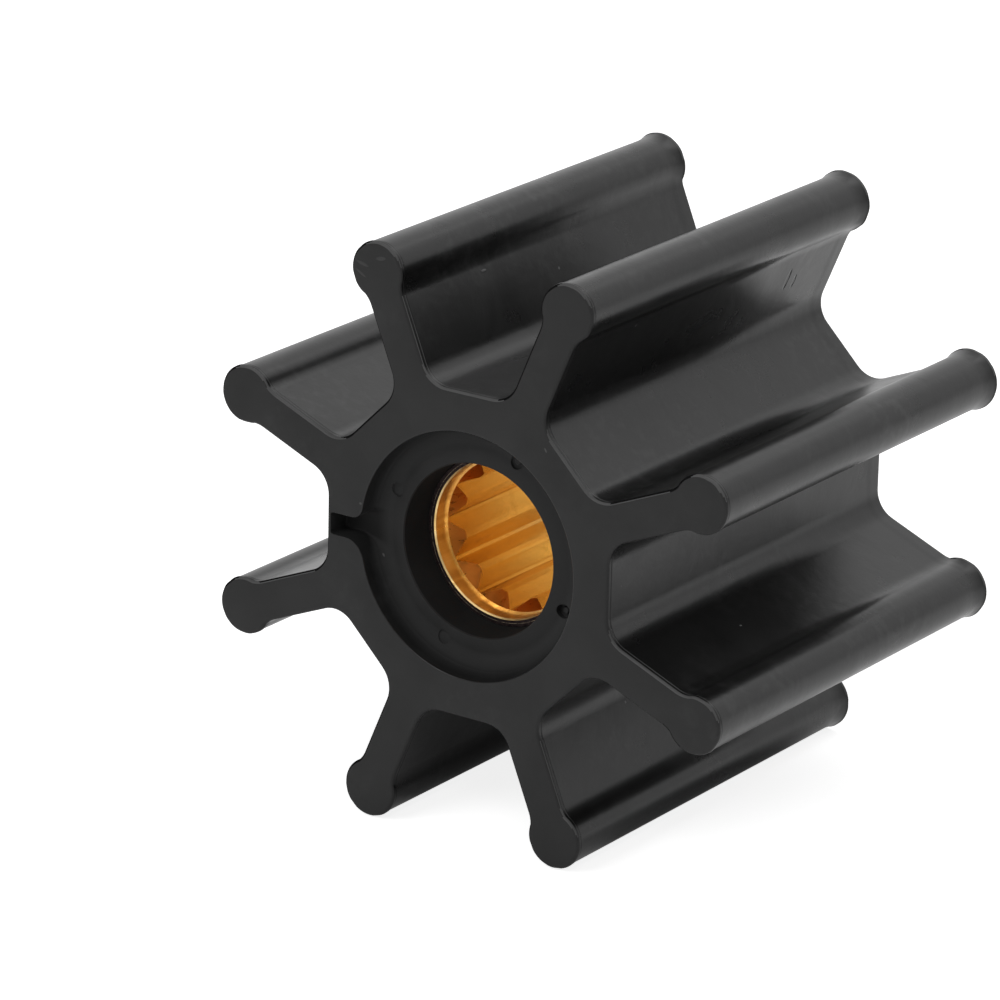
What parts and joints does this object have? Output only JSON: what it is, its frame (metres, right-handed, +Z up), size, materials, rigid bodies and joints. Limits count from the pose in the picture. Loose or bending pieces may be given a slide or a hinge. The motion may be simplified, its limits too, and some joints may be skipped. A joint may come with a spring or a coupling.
{
  "type": "flexible-vane pump impeller",
  "caption": "Rubber pump impeller with straight beaded vanes round an octagonal hub, recessed ends and a bonded brass bush with an internal spline.",
  "frame": {"origin": "middle of the bore, halfway between the two end faces", "axes": "+Y along the bore from the slotted front face to the back face, +Z up as the wheel rests on the beads of two vanes, +X to the right seen from the front"},
  "size_m": [0.061, 0.0502, 0.061],
  "materials": {
    "moulded_rubber": "satin moulded black rubber, matt on the end faces",
    "turned_brass": "cut brass with a darkened rim"
  },
  "bodies": {
    "root": {"rubber_vane_wheel": "moulded_rubber", "brass_spline_bush": "turned_brass"}
  },
  "joints": []
}
